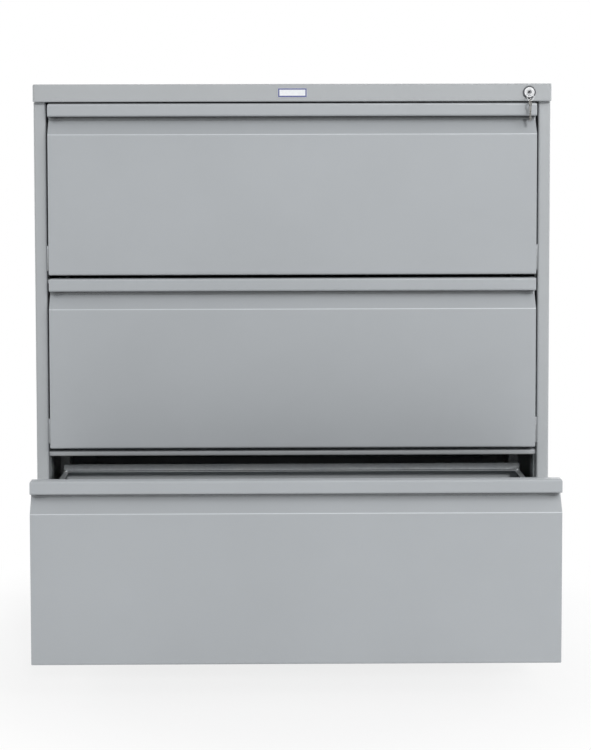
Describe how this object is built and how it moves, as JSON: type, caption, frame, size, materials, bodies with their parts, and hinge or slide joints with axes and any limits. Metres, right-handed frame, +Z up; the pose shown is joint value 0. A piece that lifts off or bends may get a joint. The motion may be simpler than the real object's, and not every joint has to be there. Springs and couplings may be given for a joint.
{
  "type": "lateral filing cabinet",
  "caption": "Wide sheet steel lateral filing cabinet with full-width lip pulls, drawers on ball slides, hanger rails, a gang lock with its key, levelling feet and its lowest drawer part open.",
  "frame": {"origin": "on the floor under the middle of the whole box, with the lowest drawer part open", "axes": "+Z up, +X to the right seen from the front, +Y from front to back"},
  "size_m": [0.914, 0.737, 1.0157],
  "materials": {
    "case_paint": "fine satin powder coat, light grey",
    "front_paint": "fine satin powder coat, light grey",
    "zinc": "bright zinc plate",
    "chrome": "bright chrome",
    "key_nickel": "nickel plate",
    "badge_enamel": "glossy white enamel, blank",
    "foot_plastic": "black glass filled nylon"
  },
  "bodies": {
    "case": {"left_side_panel": "case_paint", "right_side_panel": "case_paint", "top_cap": "case_paint", "badge_plate": "badge_enamel", "back_panel": "case_paint", "base_pan": "case_paint", "kick_plate": "case_paint", "crossrail_lower": "case_paint", "crossrail_upper": "case_paint", "left_front_upright": "zinc", "left_rear_upright": "zinc", "right_front_upright": "zinc", "right_rear_upright": "zinc", "bottom_left_slide_case_member": "zinc", "bottom_right_slide_case_member": "zinc", "middle_left_slide_case_member": "zinc", "middle_right_slide_case_member": "zinc", "top_left_slide_case_member": "zinc", "top_right_slide_case_member": "zinc", "lock_housing": "chrome", "lock_nut": "zinc"},
    "bottom_drawer": {"bottom_drawer_front": "front_paint", "bottom_drawer_liner": "case_paint", "bottom_drawer_tray": "case_paint", "bottom_drawer_back": "case_paint", "bottom_front_hanger_rail": "zinc", "bottom_rear_hanger_rail": "zinc", "bottom_left_slide_drawer_member": "zinc", "bottom_right_slide_drawer_member": "zinc"},
    "bottom_runners": {"bottom_left_slide_middle_member": "zinc", "bottom_right_slide_middle_member": "zinc"},
    "middle_drawer": {"middle_drawer_front": "front_paint", "middle_drawer_liner": "case_paint", "middle_drawer_tray": "case_paint", "middle_drawer_back": "case_paint", "middle_front_hanger_rail": "zinc", "middle_rear_hanger_rail": "zinc", "middle_left_slide_drawer_member": "zinc", "middle_right_slide_drawer_member": "zinc"},
    "middle_runners": {"middle_left_slide_middle_member": "zinc", "middle_right_slide_middle_member": "zinc"},
    "top_drawer": {"top_drawer_front": "front_paint", "top_drawer_liner": "case_paint", "top_drawer_tray": "case_paint", "top_drawer_back": "case_paint", "top_front_hanger_rail": "zinc", "top_rear_hanger_rail": "zinc", "top_left_slide_drawer_member": "zinc", "top_right_slide_drawer_member": "zinc"},
    "top_runners": {"top_left_slide_middle_member": "zinc", "top_right_slide_middle_member": "zinc"},
    "lock_plug": {"lock_plug": "chrome", "lock_cam": "zinc", "lock_key": "key_nickel"},
    "lock_bar": {"lock_bar": "zinc"},
    "key_ring": {"key_ring": "key_nickel"},
    "front_left_foot": {"front_left_levelling_foot": "foot_plastic"},
    "front_right_foot": {"front_right_levelling_foot": "foot_plastic"},
    "rear_left_foot": {"rear_left_levelling_foot": "foot_plastic"},
    "rear_right_foot": {"rear_right_levelling_foot": "foot_plastic"}
  },
  "joints": [
    {"name": "bottom_drawer_slide", "type": "slide", "parent": "case", "child": "bottom_drawer", "axis": [0, -1, 0], "range_m": [-0.28, 0.12]},
    {"name": "middle_drawer_slide", "type": "slide", "parent": "case", "child": "middle_drawer", "axis": [0, -1, 0], "range_m": [0, 0.4]},
    {"name": "top_drawer_slide", "type": "slide", "parent": "case", "child": "top_drawer", "axis": [0, -1, 0], "range_m": [0, 0.4]},
    {"name": "bottom_runner_slide", "type": "slide", "parent": "case", "child": "bottom_runners", "axis": [0, -1, 0], "range_m": [-0.14, 0.06]},
    {"name": "middle_runner_slide", "type": "slide", "parent": "case", "child": "middle_runners", "axis": [0, -1, 0], "range_m": [0, 0.2]},
    {"name": "top_runner_slide", "type": "slide", "parent": "case", "child": "top_runners", "axis": [0, -1, 0], "range_m": [0, 0.2]},
    {"name": "lock_bar_slide", "type": "slide", "parent": "case", "child": "lock_bar", "axis": [0, 0, -1], "range_m": [0, 0.01414]},
    {"name": "lock_turn", "type": "hinge", "parent": "case", "child": "lock_plug", "pos_m": [0.417, -0.0885, 1.0002], "axis": [0, 1, 0], "range_deg": [0, 90]},
    {"name": "key_ring_hang", "type": "hinge", "parent": "lock_plug", "child": "key_ring", "pos_m": [0.417, -0.103, 0.9944], "axis": [0, 1, 0], "range_deg": [-90, 0]},
    {"name": "front_left_foot_screw", "type": "slide", "parent": "case", "child": "front_left_foot", "axis": [0, 0, 1], "range_m": [0, 0.012]},
    {"name": "front_right_foot_screw", "type": "slide", "parent": "case", "child": "front_right_foot", "axis": [0, 0, 1], "range_m": [0, 0.012]},
    {"name": "rear_left_foot_screw", "type": "slide", "parent": "case", "child": "rear_left_foot", "axis": [0, 0, 1], "range_m": [0, 0.012]},
    {"name": "rear_right_foot_screw", "type": "slide", "parent": "case", "child": "rear_right_foot", "axis": [0, 0, 1], "range_m": [0, 0.012]}
  ],
  "couplings": [
    {"joint": "bottom_runner_slide", "follows": "bottom_drawer_slide", "ratio": 0.5},
    {"joint": "middle_runner_slide", "follows": "middle_drawer_slide", "ratio": 0.5},
    {"joint": "top_runner_slide", "follows": "top_drawer_slide", "ratio": 0.5},
    {"joint": "lock_turn", "follows": "lock_bar_slide", "rad_per_m": 111.07},
    {"joint": "key_ring_hang", "follows": "lock_bar_slide", "rad_per_m": -111.07}
  ]
}
